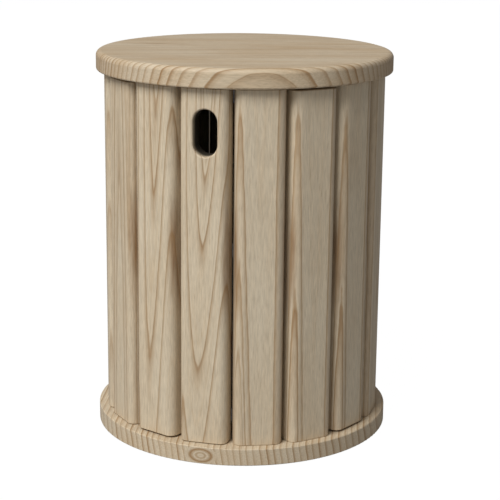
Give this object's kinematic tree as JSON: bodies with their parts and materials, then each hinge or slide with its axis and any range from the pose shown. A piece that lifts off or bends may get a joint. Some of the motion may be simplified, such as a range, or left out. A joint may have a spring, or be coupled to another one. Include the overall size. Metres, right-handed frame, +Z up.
{
  "type": "litter bin",
  "caption": "Round slatted timber litter bin with a hinged lid, a curved side door with a finger slot, and a lift-out steel liner.",
  "frame": {"origin": "on the floor, under the centre of the round base", "axes": "+Z up; -Y points out through the gap at the door's free edge; the lid's hinge is at +Y and the door's hinge is at the back left"},
  "size_m": [0.504, 0.504, 0.65],
  "materials": {
    "board_wood": "oiled ash, satin",
    "disc_wood": "oiled ash, satin",
    "batten_wood": "planed",
    "hoop_steel": "galvanised",
    "hinge_steel": "stainless, brushed",
    "screw_steel": "zinc plated",
    "galvanised_sheet": "galvanised, spangled",
    "black_rubber": "matt",
    "catch_plastic": "matt"
  },
  "bodies": {
    "housing": {"base": "disc_wood", "base_pads": "black_rubber", "base_screws": "screw_steel", "catch_magnet": "catch_plastic", "door_buffers": "black_rubber", "door_hinge_frame_screws": "screw_steel", "door_hinge_lower_frame_leaf": "hinge_steel", "door_hinge_lower_pin": "hinge_steel", "door_hinge_upper_frame_leaf": "hinge_steel", "door_hinge_upper_pin": "hinge_steel", "frame_screws": "screw_steel", "hoop_lower": "hoop_steel", "hoop_middle": "hoop_steel", "hoop_upper": "hoop_steel", "lid_bumpers": "black_rubber", "lid_hinge_frame_leaf": "hinge_steel", "lid_hinge_frame_screws": "screw_steel", "lid_hinge_pin": "hinge_steel", "liner_block_1": "batten_wood", "liner_block_2": "batten_wood", "liner_block_3": "batten_wood", "slat_01": "board_wood", "slat_02": "board_wood", "slat_03": "board_wood", "slat_04": "board_wood", "slat_05": "board_wood", "slat_06": "board_wood", "slat_07": "board_wood", "slat_08": "board_wood", "slat_09": "board_wood", "slat_10": "board_wood"},
    "door": {"catch_strike": "screw_steel", "door_hinge_door_screws": "screw_steel", "door_hinge_lower_door_leaf": "hinge_steel", "door_hinge_upper_door_leaf": "hinge_steel", "door_hoop_lower": "hoop_steel", "door_hoop_middle": "hoop_steel", "door_hoop_upper": "hoop_steel", "door_screws": "screw_steel", "door_slat_01": "board_wood", "door_slat_02": "board_wood", "door_slat_03": "board_wood", "door_slat_04": "board_wood", "door_slat_05": "board_wood", "door_slat_06": "board_wood"},
    "lid": {"batten_screws": "screw_steel", "lid": "disc_wood", "lid_batten_left": "batten_wood", "lid_batten_right": "batten_wood", "lid_hinge_lid_leaf": "hinge_steel", "lid_hinge_lid_screws": "screw_steel"},
    "liner": {"liner_floor": "galvanised_sheet", "liner_wall": "galvanised_sheet"}
  },
  "joints": [
    {"name": "door_hinge", "type": "hinge", "parent": "housing", "child": "door", "pos_m": [-0.16758, 0.16758, 0.32], "axis": [0, 0, -1], "range_deg": [0, 110]},
    {"name": "lid_hinge", "type": "hinge", "parent": "housing", "child": "lid", "pos_m": [0, 0.2435, 0.612], "axis": [-1, 0, 0], "range_deg": [0, 95]},
    {"name": "liner_lift", "type": "slide", "parent": "housing", "child": "liner", "axis": [0, 0, 1], "range_m": [0, 0.2]}
  ]
}
